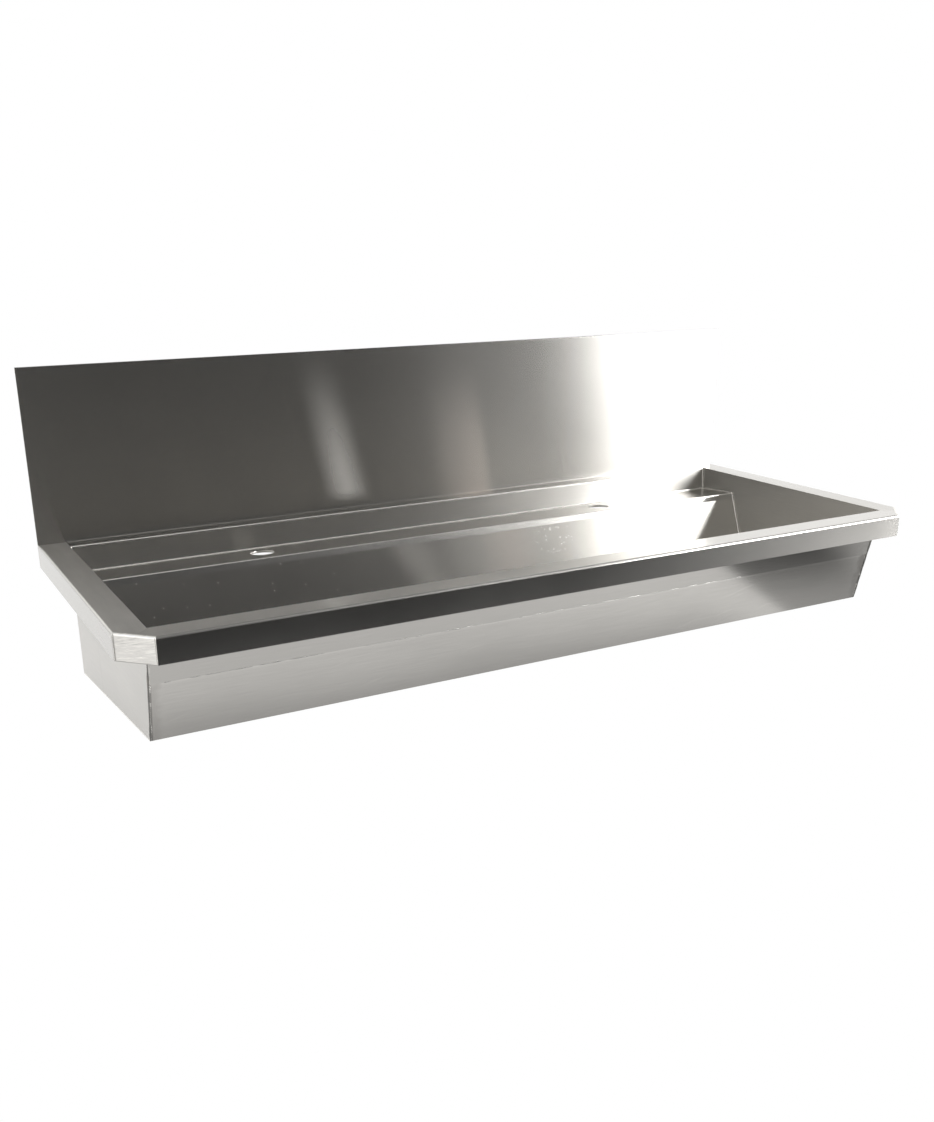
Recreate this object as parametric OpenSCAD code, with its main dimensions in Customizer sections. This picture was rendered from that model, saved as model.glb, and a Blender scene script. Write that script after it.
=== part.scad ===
// Wall-hung stainless wash trough with a tap ledge, a high splashback and cut front corners.
// X runs along the trough, +Y into the wall, +Z up, all in millimetres.
// The origin is on the wall plane, in the middle of the four wall fixings.

/* [Overall] */
// Length of the trough along the wall
trough_length = 1200; // [1000:10:1500]
// Depth from the wall to the front of the apron
trough_depth = 470; // [440:5:520]
// Thickness of the stainless sheet
sheet_t = 1.5; // [1.2:0.1:1.8]
// Inside radius of the folds
bend_r = 1.5; // [1:0.1:2]

/* [Splashback] */
// Height of the splashback above the deck
splash_h = 240; // [180:5:320]
// Length of the hem folded down behind the top edge
hem_len = 10; // [6:1:14]
// Space left inside the closed hem
hem_gap = 0.4; // [0.3:0.05:0.6]

/* [Rim] */
// Width of the flat deck at the sides and front
rim_w = 38; // [34:1:46]
// Height of the downturned apron
apron_h = 32; // [24:1:40]
// How far each front corner is cut back
corner_cut = 38; // [30:1:46]
// Width of deck that the corner plate carries
corner_lip = 5; // [4:0.5:7]

/* [Tap ledge] */
// Width of the deck strip between splashback and ledge recess
rear_deck = 27; // [22:1:34]
// Depth of the ledge recess at its rear
ledge_drop = 37; // [30:1:44]
// How far the wall behind the ledge leans forward
recess_lean = 3; // [1:0.5:6]
// Width of the ledge, front to back
ledge_w = 77; // [70:1:90]
// How much higher the front of the ledge is than its rear
ledge_rise = 5.5; // [2:0.5:8]
// Length of the downturned lip at the front of the ledge
ledge_lip = 10; // [8:1:16]
// Diameter of each tap hole
tap_hole_d = 35; // [28:1:38]
// Distance between the two tap holes
tap_pitch = 600; // [400:10:700]

/* [Bowl] */
// Angle of the sloping back from the vertical
slope_angle = 21; // [16:1:26]
// How far the front wall leans back over its height
front_lean = 32; // [20:1:44]
// Depth of the box at the front, below the deck
front_depth = 147; // [130:1:160]
// Depth of the end panels at the rear, below the deck
rear_depth = 187; // [175:1:210]
// Depth of the welded seam across the front wall
seam_drop = 72; // [60:1:90]

/* [Hangers] */
// Depth of the middle of the wall fixings below the deck
fixing_drop = 100; // [95:1:105]
// Distance between the two hanging brackets
bracket_pitch = 900; // [820:10:940]
// Width of a bracket
bracket_w = 56; // [50:1:64]
// Thickness of the bracket plate
bracket_t = 3; // [2.5:0.5:4]
// Height between the two fixing holes of a bracket
fixing_pitch = 70; // [60:1:76]
// Diameter of the fixing holes
fixing_d = 9; // [7:0.5:11]
// Length of the saddle that carries the ledge
saddle_len = 54; // [48:1:60]
// Distance between the two hold-down studs of a bracket
stud_pitch = 30; // [26:1:34]
// Width of each leg of the rear rail
rail_w = 25; // [20:1:30]
// Distance between the two wall buffers
buffer_pitch = 500; // [300:10:700]
// Diameter of a wall buffer
buffer_d = 22; // [16:1:24]

/* [Waste] */
// Distance of the waste from the foot of the sloping back
waste_inset = 56; // [50:1:90]
// Diameter of the pressed recess round the waste
recess_d = 92; // [86:1:100]
// Diameter of the hole for the waste
waste_hole_d = 51; // [50:0.5:54]
// Diameter of the waste flange
waste_flange_d = 72; // [68:1:78]
// Outside diameter of the threaded waste tail
tail_d = 47.8; // [42:0.1:48]
// Length of the waste tail
tail_len = 27; // [20:1:60]
// Depth of the strainer cup
cup_depth = 12; // [10:1:20]

/* [Hidden] */

// Smoothness of round parts, and steps in each fold
$fn = 48;
fold_steps = 6;
// Overrun of every cut past the surface it opens
overrun = 2;
// Radial play of a thread in its nut
thread_play = 0.05;
// Radial play of a stud or bolt in its hole
hole_play = 0.4;
// Gap at the root of a hidden joint
joint_gap = 0.05;

// Fasteners: M6 studs, nuts and washers
stud_d = 6;
nut_af = 10;
nut_h = 5;
washer_d = 12;
washer_t = 1.6;
stud_end = 3;
bolt_head_h = 4;

// Reinforcing plate under each tap hole
tap_plate_w = 120;
tap_plate_len = 60;
tap_plate_t = 2;
tap_plate_play = 1;

// Hanging bracket: gap below the recess, edge past the fixing holes, foot of the cheeks
bracket_gap = 8;
bracket_edge = 20;
bracket_toe = 14;

// Rear rail: height above the lower corner of the end panels
rail_lift = 5;
// Depth of the stud in a buffer
buffer_bite = 10;

// Waste: seals, flange, strainer, body and screw
upper_seal_t = 1.5;
flange_t = 1.5;
lower_seal_t = 2.5;
seal_margin = 2;
cup_play = 1.5;
cup_wall = 1.5;
cup_floor_t = 2;
body_play = 1;
body_wall = 3.5;
body_flange_t = 4;
body_flange_margin = 2;
tail_wall = 3;
tail_step = 5;
boss_d = 13;
spider_t = 4;
spider_w = 5;
spider_count = 3;
screw_head_d = 11;
screw_head_h = 3;
drain_d = 4.6;
// Two rings of drain holes: how many, and how far out in the cup
drain_counts = [6, 12];
drain_radius_shares = [0.4, 0.73];

// Damping pads under the floor
pad_len = 330;
pad_w = 150;
pad_t = 3;
pad_shift = 45;

// Place of the earth bolt along the rear rail
earth_x = 80;

// Derived values
bend_out = bend_r + sheet_t;
hem_r = hem_gap / 4;
half_length = trough_length / 2;
half_bowl = half_length - rim_w;
splash_face = 2 * sheet_t + hem_gap;
opening_rear = splash_face + rear_deck;
opening_front = trough_depth - rim_w;
seam_inset = 2 * bend_out;
panel_rear = opening_rear - sheet_t;
recess_depth = upper_seal_t + flange_t;
plate_top = ledge_drop + bracket_gap;
plate_bottom = fixing_drop + fixing_pitch / 2 + bracket_edge;
rail_bottom = rear_depth - rail_lift;
rail_top = rail_bottom - rail_w;
rail_mid = rail_bottom - rail_w / 2;

function unit(v) = v / norm(v);
function right_of(v) = [v.y, -v.x];
function cross2(a, b) = a.x * b.y - a.y * b.x;
function turned(v, a) = [v.x * cos(a) - v.y * sin(a), v.x * sin(a) + v.y * cos(a)];
function reversed(v) = [for (i = [len(v) - 1:-1:0]) v[i]];
function mirrored(v) = [for (p = v) [-p.x, p.y]];
// Where the line through p along d meets the line through q along e
function meet(p, d, q, e) = p + d * cross2(q - p, e) / cross2(d, e);

// A folded sheet lies to the right of its visible face; fold_side follows it at one depth
function fold_arc(p, q, s, r, depth) =
    let (a = unit(q - p), b = unit(s - q), w = atan2(cross2(a, b), a * b), side = sign(w))
    let (face_r = side < 0 ? r + sheet_t : r)
    let (centre = q - a * face_r * tan(abs(w) / 2) - right_of(a) * side * face_r)
    [for (i = [0:fold_steps])
        centre + turned(right_of(a), w * i / fold_steps) * side * (face_r + side * depth)];
function fold_side(path, radii, depth) =
    let (n = len(path) - 1)
    concat([path[0] + right_of(unit(path[1] - path[0])) * depth],
           [for (k = [1:n - 1]) each fold_arc(path[k - 1], path[k], path[k + 1], radii[k - 1], depth)],
           [path[n] + right_of(unit(path[n] - path[n - 1])) * depth]);
function folded(path, radii) =
    concat(fold_side(path, radii, 0), reversed(fold_side(path, radii, sheet_t)));

// Cross-section points: distance out from the wall, height from the deck
recess_top = [opening_rear, 0];
recess_foot = [opening_rear + recess_lean, -ledge_drop];
ledge_front = recess_foot + [ledge_w, ledge_rise];
slope_dir = [sin(slope_angle), -cos(slope_angle)];
slope_back = right_of(slope_dir) * sheet_t;
slope_top = ledge_front + slope_dir * ledge_lip;
rim_inner = [opening_front, 0];
front_dir = unit([-front_lean, -front_depth]);
front_out = -right_of(front_dir) * sheet_t;
seam = rim_inner + front_dir * seam_drop / -front_dir.y;
box_front = meet(rim_inner + front_out, front_dir, [0, -front_depth], [1, 0]);
box_rear = [panel_rear, -rear_depth];
floor_dir = unit(box_front - box_rear);
floor_up = -right_of(floor_dir) * sheet_t;
slope_foot = meet(slope_top, slope_dir, box_rear + floor_up, floor_dir);
waste_at = slope_foot + floor_dir * waste_inset;
floor_angle = atan2(floor_dir.y, floor_dir.x);
ledge_dir = unit(ledge_front - recess_foot);
ledge_down = right_of(ledge_dir);
ledge_mid = (recess_foot + ledge_front) / 2;
ledge_angle = atan2(ledge_dir.y, ledge_dir.x);
function ledge_point(along, depth) = ledge_mid + ledge_dir * along + ledge_down * depth;

// Plan points of the left front corner and its mitres
mitre = 45 / 2;
cut_rear = [-half_length, corner_cut - trough_depth];
cut_front = [corner_cut - half_length, -trough_depth];
mitre_rear = [cos(mitre), sin(mitre)] / cos(mitre);
mitre_front = [sin(mitre), cos(mitre)] / cos(mitre);
lip_rear = cut_rear + mitre_rear * corner_lip;
lip_front = cut_front + mitre_front * corner_lip;
inner_corner = [-half_bowl, -opening_front - bend_out];
lip_mid = meet(inner_corner, [-1, -1], lip_rear, lip_front - lip_rear);

apron_path = [[0, -apron_h], [0, 0]];

// Heights are measured from the deck; this lifts a piece into the part's frame
module from_deck() translate([0, 0, fixing_drop]) children();
// Runs a cross-section along the trough, centred
module along(length) rotate([90, 0, -90]) linear_extrude(length, center = true) children();
// Frame on the ledge, at a place along the trough, with +Z square to the ledge
module at_ledge(x) from_deck() translate([x, -ledge_mid.x, ledge_mid.y])
    rotate([-ledge_angle, 0, 0]) children();
// Frame on the bowl floor at the waste, with +Z square to the floor
module at_waste() from_deck() translate([0, -waste_at.x, waste_at.y])
    rotate([-floor_angle, 0, 0]) children();
// Copies at both sides of the middle
module both(pitch) for (side = [-1, 1]) translate([side * pitch / 2, 0, 0]) children();
module hex_nut() {
    difference() {
        cylinder(h = nut_h, d = nut_af / cos(30), $fn = 6);
        translate([0, 0, -overrun]) cylinder(h = nut_h + 2 * overrun, d = stud_d + 2 * thread_play);
    }
}
module washer() {
    difference() {
        cylinder(h = washer_t, d = washer_d);
        translate([0, 0, -overrun]) cylinder(h = washer_t + 2 * overrun, d = stud_d + 2 * hole_play);
    }
}

// Folded from one sheet: hem behind the top edge, upright panel and rear deck strip
module splashback() color([0.62, 0.62, 0.61]) from_deck() {
    hem = [[0, splash_h - hem_len], [0, splash_h], [splash_face, splash_h]];
    strip = [[splash_face, 0], [opening_rear - seam_inset, 0]];
    along(2 * half_bowl) polygon(folded(concat(hem, strip), [hem_r, hem_r, bend_r]));
    both(half_length + half_bowl) along(rim_w) polygon(folded(concat(hem, [strip[0]]), [hem_r, hem_r]));
}

// Recess wall, ledge with two tap holes, and a lip turned down at the front
module tap_ledge() color([0.66, 0.66, 0.65]) difference() {
    path = [recess_top - [seam_inset, 0], recess_top, recess_foot, ledge_front, slope_top];
    from_deck() along(2 * half_bowl) polygon(folded(path, [bend_r, bend_r, bend_r]));
    for (side = [-1, 1]) at_ledge(side * tap_pitch / 2)
        translate([0, 0, -sheet_t - overrun]) cylinder(h = sheet_t + 2 * overrun, d = tap_hole_d);
}

// Panel from the ledge lip down to the floor
module sloping_back() color([0.64, 0.64, 0.63]) from_deck() along(2 * half_bowl)
    polygon([slope_top, slope_foot,
             meet(slope_top + slope_back, slope_dir, slope_foot, floor_dir), slope_top + slope_back]);

// Floor falling to the rear, with a pressed recess round the waste hole
module bowl_floor() color([0.6, 0.6, 0.59]) difference() {
    union() {
        from_deck() along(2 * half_bowl) polygon([
            meet(rim_inner - [joint_gap, 0], front_dir, slope_foot, floor_dir),
            meet(rim_inner - [joint_gap, 0], front_dir, box_rear, floor_dir),
            meet(slope_top + slope_back, slope_dir, box_rear, floor_dir),
            meet(slope_top + slope_back, slope_dir, slope_foot, floor_dir)]);
        at_waste() translate([0, 0, -recess_depth - sheet_t])
            cylinder(h = recess_depth + sheet_t / 2, d1 = recess_d - 2 * recess_depth + sheet_t,
                     d2 = recess_d + sheet_t);
    }
    at_waste() translate([0, 0, -recess_depth])
        cylinder(h = recess_depth + overrun, d1 = recess_d - 2 * recess_depth, d2 = recess_d + 2 * overrun);
    at_waste() translate([0, 0, -recess_depth - sheet_t - overrun])
        cylinder(h = sheet_t + 2 * overrun, d = waste_hole_d);
}

// Lower front panel, from the welded seam down to the bottom edge
module front_wall() color([0.7, 0.7, 0.69]) from_deck() along(2 * half_bowl)
    polygon([seam, seam + front_out, box_front, meet(rim_inner, front_dir, box_rear, floor_dir)]);

// Front apron, deck and the inner leg down to the seam, mitred at both cut corners
module front_rim() color([0.72, 0.72, 0.71]) from_deck() intersection() {
    along(trough_length) polygon(folded(
        [seam, rim_inner, [trough_depth, 0], [trough_depth, -apron_h]], [bend_r, bend_r]));
    half = [cut_front - mitre_front * overrun, lip_front, lip_mid, inner_corner,
            [-half_bowl, front_lean - opening_front + overrun]];
    translate([0, 0, -seam_drop - apron_h])
        linear_extrude(seam_drop + apron_h + overrun) polygon(concat(half, reversed(mirrored(half))));
}

// Side apron and deck, from the wall to the mitre at the cut corner
module side_rim() from_deck() intersection() {
    translate([-half_length, 0, 0]) rotate([90, 0, 0]) linear_extrude(trough_depth)
        polygon(folded(concat(apron_path, [[rim_w, 0]]), [bend_r]));
    translate([0, 0, -apron_h - overrun]) linear_extrude(apron_h + 2 * overrun) polygon([
        [-half_length - overrun, overrun], cut_rear - mitre_rear * overrun, lip_rear, lip_mid,
        inner_corner, inner_corner + [overrun, 0], [overrun - half_bowl, overrun]]);
}
module left_rim() color([0.74, 0.74, 0.73]) side_rim();
module right_rim() color([0.74, 0.74, 0.73]) mirror([1, 0, 0]) side_rim();

// Plate welded across the cut corner, mitred to both aprons
module corner_plate() from_deck() intersection() {
    translate(cut_rear) rotate([0, 0, 45]) rotate([90, 0, 0])
        translate([0, 0, -corner_lip]) linear_extrude(norm(cut_front - cut_rear) + 2 * corner_lip)
            polygon(folded(concat(apron_path, [[corner_lip, 0]]), [bend_r]));
    translate([0, 0, -apron_h - overrun]) linear_extrude(apron_h + 2 * overrun) polygon([
        cut_rear - mitre_rear * overrun, lip_rear, lip_front, cut_front - mitre_front * overrun]);
}
module left_corner_plate() color([0.8, 0.8, 0.79]) corner_plate();
module right_corner_plate() color([0.8, 0.8, 0.79]) mirror([1, 0, 0]) corner_plate();

// Flat end panel that closes the bowl and the space behind it
module end_panel() from_deck() translate([-half_bowl - sheet_t / 2, 0, 0]) along(sheet_t)
    polygon([[panel_rear, -sheet_t], box_rear, box_front,
             meet(rim_inner + front_out, front_dir, [0, -sheet_t], [1, 0])]);
module left_end() color([0.78, 0.78, 0.77]) end_panel();
module right_end() color([0.78, 0.78, 0.77]) mirror([1, 0, 0]) end_panel();

// Stiffening plate spot-welded under the ledge round a tap hole
module tap_plate(side) at_ledge(side * tap_pitch / 2)
    translate([0, 0, -sheet_t - tap_plate_t]) difference() {
        translate([-tap_plate_w / 2, -tap_plate_len / 2, 0]) cube([tap_plate_w, tap_plate_len, tap_plate_t]);
        translate([0, 0, -overrun])
            cylinder(h = tap_plate_t + 2 * overrun, d = tap_hole_d + 2 * tap_plate_play);
    }
module left_tap_plate() color([0.5, 0.52, 0.54]) tap_plate(-1);
module right_tap_plate() color([0.5, 0.52, 0.54]) tap_plate(1);

// Folded angle that ties the lower rear corners of the end panels together
module rear_rail() color([0.58, 0.58, 0.57]) from_deck() difference() {
    along(2 * half_bowl) polygon(folded(
        [[panel_rear, -rail_bottom], [panel_rear, -rail_top], [panel_rear + rail_w, -rail_top]], [bend_r]));
    both(buffer_pitch) translate([0, -panel_rear + overrun, -rail_mid]) rotate([90, 0, 0])
        cylinder(h = sheet_t + 2 * overrun, d = stud_d + 2 * hole_play);
    translate([earth_x, -panel_rear - rail_w / 2, -rail_top - sheet_t - overrun])
        cylinder(h = sheet_t + 2 * overrun, d = stud_d + 2 * hole_play);
}

// Bracket bolted to the wall: back plate, two cheeks and a saddle under the ledge
module bracket(side) difference() {
    union() {
        from_deck() translate([side * bracket_pitch / 2 - bracket_w / 2, -bracket_t, -plate_bottom])
            cube([bracket_w, bracket_t, plate_bottom - plate_top]);
        from_deck() translate([side * bracket_pitch / 2, 0, 0]) both(bracket_w - 2 * bracket_t) along(bracket_t)
            polygon([[0, -plate_top], [0, -plate_bottom], [bracket_toe, -plate_bottom],
                     ledge_point(saddle_len / 2 - bracket_t, sheet_t + bracket_t / 2),
                     ledge_point(bracket_t - saddle_len / 2, sheet_t + bracket_t / 2)]);
        at_ledge(side * bracket_pitch / 2) translate([-bracket_w / 2, -saddle_len / 2, -sheet_t - bracket_t])
            cube([bracket_w, saddle_len, bracket_t]);
    }
    for (up = [-1, 1]) translate([side * bracket_pitch / 2, overrun, up * fixing_pitch / 2])
        rotate([90, 0, 0]) cylinder(h = bracket_t + 2 * overrun, d = fixing_d);
    at_ledge(side * bracket_pitch / 2) rotate([0, 0, 90]) both(stud_pitch)
        translate([0, 0, -sheet_t - bracket_t - overrun])
            cylinder(h = bracket_t + 2 * overrun, d = stud_d + 2 * hole_play);
}
module left_bracket() color([0.45, 0.46, 0.48]) bracket(-1);
module right_bracket() color([0.45, 0.46, 0.48]) bracket(1);

// Places something at each of the four hold-down studs, at a depth below the ledge sheet
module at_studs(depth) for (side = [-1, 1]) at_ledge(side * bracket_pitch / 2)
    rotate([0, 0, 90]) both(stud_pitch) translate([0, 0, -sheet_t - depth]) children();
stud_len = bracket_t + washer_t + nut_h + stud_end;
module ledge_studs() color([0.75, 0.75, 0.74]) at_studs(stud_len) cylinder(h = stud_len, d = stud_d);
module ledge_washers() color([0.7, 0.7, 0.7]) at_studs(bracket_t + washer_t) washer();
module ledge_nuts() color([0.68, 0.68, 0.68]) at_studs(bracket_t + washer_t + nut_h) hex_nut();

// Places something at each wall buffer, on the face of the rear rail, with +Z away from the wall
module at_buffers() from_deck() both(buffer_pitch) translate([0, -panel_rear, -rail_mid])
    rotate([90, 0, 0]) children();
module wall_buffers() color([0.12, 0.12, 0.12]) at_buffers() difference() {
    translate([0, 0, -panel_rear]) cylinder(h = panel_rear, d = buffer_d);
    translate([0, 0, -buffer_bite]) cylinder(h = buffer_bite + overrun, d = stud_d + 2 * thread_play);
}
module buffer_studs() color([0.75, 0.75, 0.74]) at_buffers()
    translate([0, 0, -buffer_bite]) cylinder(h = buffer_bite + sheet_t + nut_h + stud_end, d = stud_d);
module buffer_nuts() color([0.68, 0.68, 0.68]) at_buffers() translate([0, 0, sheet_t]) hex_nut();

// Heights in the waste, down from the floor surface
under_sheet = recess_depth + sheet_t;
body_top = under_sheet + lower_seal_t;
cup_r = waste_hole_d / 2 - cup_play;
body_bore_r = cup_r + body_play;
spider_top = cup_depth + cup_floor_t;
chamber_bottom = spider_top + spider_t + tail_step;
tail_bottom = chamber_bottom + tail_len;

// Flange and strainer cup in one pressing
module waste_strainer() color([0.8, 0.8, 0.8]) at_waste() difference() {
    rotate_extrude() polygon([
        [0, -cup_depth], [cup_r - cup_wall, -cup_depth], [cup_r - cup_wall, 0], [waste_flange_d / 2, 0],
        [waste_flange_d / 2, -flange_t], [cup_r, -flange_t], [cup_r, -cup_depth - cup_floor_t],
        [0, -cup_depth - cup_floor_t]]);
    translate([0, 0, -cup_depth - cup_floor_t - overrun]) {
        cylinder(h = cup_floor_t + 2 * overrun, d = stud_d + 2 * hole_play);
        for (ring = [0:len(drain_counts) - 1], i = [1:drain_counts[ring]])
            rotate([0, 0, i * 360 / drain_counts[ring]])
                translate([drain_radius_shares[ring] * (cup_r - cup_wall), 0, 0])
                    cylinder(h = cup_floor_t + 2 * overrun, d = drain_d);
    }
}
// Screw that draws the strainer and the body together
module waste_screw() color([0.7, 0.7, 0.7]) at_waste() {
    translate([0, 0, -cup_depth]) cylinder(h = screw_head_h, d = screw_head_d);
    translate([0, 0, -spider_top - spider_t])
        cylinder(h = cup_floor_t + spider_t + screw_head_h / 2, d = stud_d);
}
module seal_ring(top, thick, outer) at_waste() translate([0, 0, -top - thick]) difference() {
    cylinder(h = thick, d = outer);
    translate([0, 0, -overrun]) cylinder(h = thick + 2 * overrun, d = waste_hole_d);
}
module upper_seal() color([0.15, 0.15, 0.15])
    seal_ring(flange_t, upper_seal_t, waste_flange_d - 2 * seal_margin);
module lower_seal() color([0.15, 0.15, 0.15]) seal_ring(under_sheet, lower_seal_t, waste_flange_d);
// Body under the floor, with a threaded tail and a spider for the screw
module waste_body() color([0.78, 0.66, 0.4]) at_waste() {
    rotate_extrude() polygon([
        [body_bore_r, -body_top], [waste_flange_d / 2 + body_flange_margin, -body_top],
        [waste_flange_d / 2 + body_flange_margin, -body_top - body_flange_t],
        [body_bore_r + body_wall, -body_top - body_flange_t], [body_bore_r + body_wall, -chamber_bottom],
        [tail_d / 2, -chamber_bottom], [tail_d / 2, -tail_bottom], [tail_d / 2 - tail_wall, -tail_bottom],
        [tail_d / 2 - tail_wall, -chamber_bottom + tail_wall], [body_bore_r, -chamber_bottom + tail_step]]);
    translate([0, 0, -spider_top - spider_t]) difference() {
        union() {
            cylinder(h = spider_t, d = boss_d);
            for (i = [0:spider_count - 1]) rotate([0, 0, i * 360 / spider_count])
                translate([0, -spider_w / 2, 0]) cube([body_bore_r + body_wall / 2, spider_w, spider_t]);
        }
        translate([0, 0, -overrun]) cylinder(h = spider_t + 2 * overrun, d = stud_d + 2 * thread_play);
    }
}

// Sound-deadening pads stuck under the floor, in the middle of each half
module damping_pad(side) at_waste()
    translate([(side * half_bowl - pad_len) / 2, -pad_w / 2 - pad_shift, -sheet_t - joint_gap - pad_t])
        cube([pad_len, pad_w, pad_t]);
module left_damping_pad() color([0.1, 0.1, 0.1]) damping_pad(-1);
module right_damping_pad() color([0.1, 0.1, 0.1]) damping_pad(1);

// Earth terminal through the top leg of the rear rail
module at_earth(z) from_deck() translate([earth_x, -panel_rear - rail_w / 2, -rail_top + z]) children();
earth_len = washer_t + sheet_t + washer_t + nut_h + stud_end;
module earth_bolt() color([0.7, 0.6, 0.35]) {
    at_earth(washer_t) cylinder(h = bolt_head_h, d = nut_af / cos(30), $fn = 6);
    at_earth(washer_t - earth_len) cylinder(h = earth_len + bolt_head_h / 2, d = stud_d);
}
module earth_washers() color([0.7, 0.6, 0.35]) {
    at_earth(0) washer();
    at_earth(-sheet_t - washer_t) washer();
}
module earth_nut() color([0.7, 0.6, 0.35]) at_earth(-sheet_t - washer_t - nut_h) hex_nut();

splashback();
tap_ledge();
sloping_back();
bowl_floor();
front_wall();
front_rim();
left_rim();
right_rim();
left_corner_plate();
right_corner_plate();
left_end();
right_end();
left_tap_plate();
right_tap_plate();
rear_rail();
left_bracket();
right_bracket();
ledge_studs();
ledge_washers();
ledge_nuts();
wall_buffers();
buffer_studs();
buffer_nuts();
waste_strainer();
waste_screw();
upper_seal();
lower_seal();
waste_body();
left_damping_pad();
right_damping_pad();
earth_bolt();
earth_washers();
earth_nut();
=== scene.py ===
import math

import bpy
import numpy as np
from mathutils import Matrix, Vector


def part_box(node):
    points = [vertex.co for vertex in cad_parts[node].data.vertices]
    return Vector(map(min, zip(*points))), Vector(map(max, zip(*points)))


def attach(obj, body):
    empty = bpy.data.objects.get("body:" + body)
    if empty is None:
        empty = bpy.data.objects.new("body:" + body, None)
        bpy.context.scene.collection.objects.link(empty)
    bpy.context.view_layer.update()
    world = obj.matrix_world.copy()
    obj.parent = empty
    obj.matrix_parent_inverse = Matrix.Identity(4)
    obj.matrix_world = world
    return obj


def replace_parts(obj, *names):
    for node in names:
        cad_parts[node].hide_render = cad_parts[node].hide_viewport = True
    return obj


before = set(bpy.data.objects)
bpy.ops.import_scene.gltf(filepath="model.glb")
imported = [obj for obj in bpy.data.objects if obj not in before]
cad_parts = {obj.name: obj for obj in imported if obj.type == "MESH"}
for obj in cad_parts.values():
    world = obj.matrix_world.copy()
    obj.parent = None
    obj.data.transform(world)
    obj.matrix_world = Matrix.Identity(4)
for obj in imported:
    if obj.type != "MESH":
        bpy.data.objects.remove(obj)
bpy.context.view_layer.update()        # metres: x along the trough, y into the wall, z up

print("frame loaded:", len(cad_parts), "nodes")


class Wire:
    # One socket of a node tree. Sums on wires add Math nodes, and add() makes any other node.
    def __init__(self, tree, socket=None):
        self.tree = tree
        self.socket = socket

    def add(self, kind, settings=None, values=None, out=0):
        node = self.tree.nodes.new("ShaderNode" + kind)
        for key, value in (settings or {}).items():
            setattr(node, key, value)
        for key, value in (values or {}).items():
            if isinstance(value, Wire):
                self.tree.links.new(value.socket, node.inputs[key])
            else:
                node.inputs[key].default_value = value
        return Wire(self.tree, node.outputs[out]) if len(node.outputs) else node

    def maths(self, operation, *terms):
        return self.add("Math", {"operation": operation}, dict(enumerate(terms)))

    def __add__(self, other):
        return self.maths("ADD", self, other)

    def __radd__(self, other):
        return self.maths("ADD", other, self)

    def __sub__(self, other):
        return self.maths("SUBTRACT", self, other)

    def __rsub__(self, other):
        return self.maths("SUBTRACT", other, self)

    def __mul__(self, other):
        return self.maths("MULTIPLY", self, other)

    def __rmul__(self, other):
        return self.maths("MULTIPLY", other, self)

    def __truediv__(self, other):
        return self.maths("DIVIDE", self, other)

    def __rtruediv__(self, other):
        return self.maths("DIVIDE", other, self)

    def __abs__(self):
        return self.maths("ABSOLUTE", self)

    def either(self, other):      # the larger of the two
        return self.maths("MAXIMUM", self, other)

    def rise(self, low, high):      # 0 below low, 1 above high, smooth between; falls if high < low
        return self.add("MapRange", {"interpolation_type": "SMOOTHSTEP"}, {0: self, 1: low, 2: high})

    def ridge(self, middle, width):      # 1 at the middle, 0 a width away on either side
        return 1 - abs(self - middle).rise(0, width)


def tint(wire, factor, first, second, how="MIX"):      # mixes two colours by a factor
    return wire.add("Mix", {"data_type": "RGBA", "blend_type": how}, {0: factor, 6: first, 7: second}, 2)


def noise(place, stretch, detail=2.0, roughness=0.5, turn=(0, 0, 0), shift=(0, 0, 0)):
    # cloudy pattern, stretch is its cycles per metre along each axis after the turn
    spun = place.add("Mapping", {}, {"Vector": place, "Rotation": turn, "Location": shift})
    scaled = place.add("VectorMath", {"operation": "MULTIPLY"}, {0: spun, 1: stretch})
    values = {"Vector": scaled, "Scale": 1, "Detail": detail, "Roughness": roughness}
    return place.add("TexNoise", {}, values)


def axes(place):      # the three parts of a vector
    node = place.add("SeparateXYZ", {}, {0: place})
    return [Wire(node.tree, out) for out in node.socket.node.outputs]


def fromEdge(edge, span):      # where a mark begins and where it is full, both counted from an edge
    return edge + span[0], edge + span[1]


def newMaterial(name):
    material = bpy.data.materials.new(name)
    material.use_nodes = True
    material.node_tree.nodes.clear()
    return material, Wire(material.node_tree)


def closeMaterial(material, start, surface):
    start.add("OutputMaterial", {}, {"Surface": surface})
    return material


def grey(level, warm=0.0):      # a nearly neutral colour, slightly warm or cool
    return (level * (1 + warm / 2), level, level * (1 - warm), 1)


def bump(start, height, before=None):
    values = {"Strength": 1, "Distance": 1, "Height": height}
    return start.add("Bump", {}, dict(values, Normal=before) if before else values)


# Stainless sheet: a clear reflection under a haze, a fine grain along one axis, clouds from handling and
# faint rolling waves. "warm" tints it, "haze" is the share of the surface that scatters widely, "brushed"
# is the roughness of upright faces and "lift" the angle of a second, raised reflection in degrees.
sheetFinish = {
    "level": 0.60, "warm": 0.05, "rough": 0.15, "haze": 0.06, "hazeRough": 0.42,
    "brushed": 0.0, "brushedTurn": 0.25, "uprightSpan": (0.2, 0.1),
    "lift": 0.0, "liftShare": 0.25, "liftRough": 0.15,
    "grainStretch": (25, 1500, 1500), "grainTone": 0.10, "grainHeight": 3e-6,
    "cloudStretch": (5, 9, 9), "cloudTone": 0.08, "cloudRough": 0.05, "cloudHaze": 0.5,
    "wipeStretch": (30, 4, 4), "wipeShift": (3.1, 1.7, 0.4), "wipeHaze": 0.5,
    "waveStretch": (2.2, 1.5, 2.5), "waveShift": (0.7, 0.2, 2.3), "waveHeight": 4e-4,
}


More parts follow.
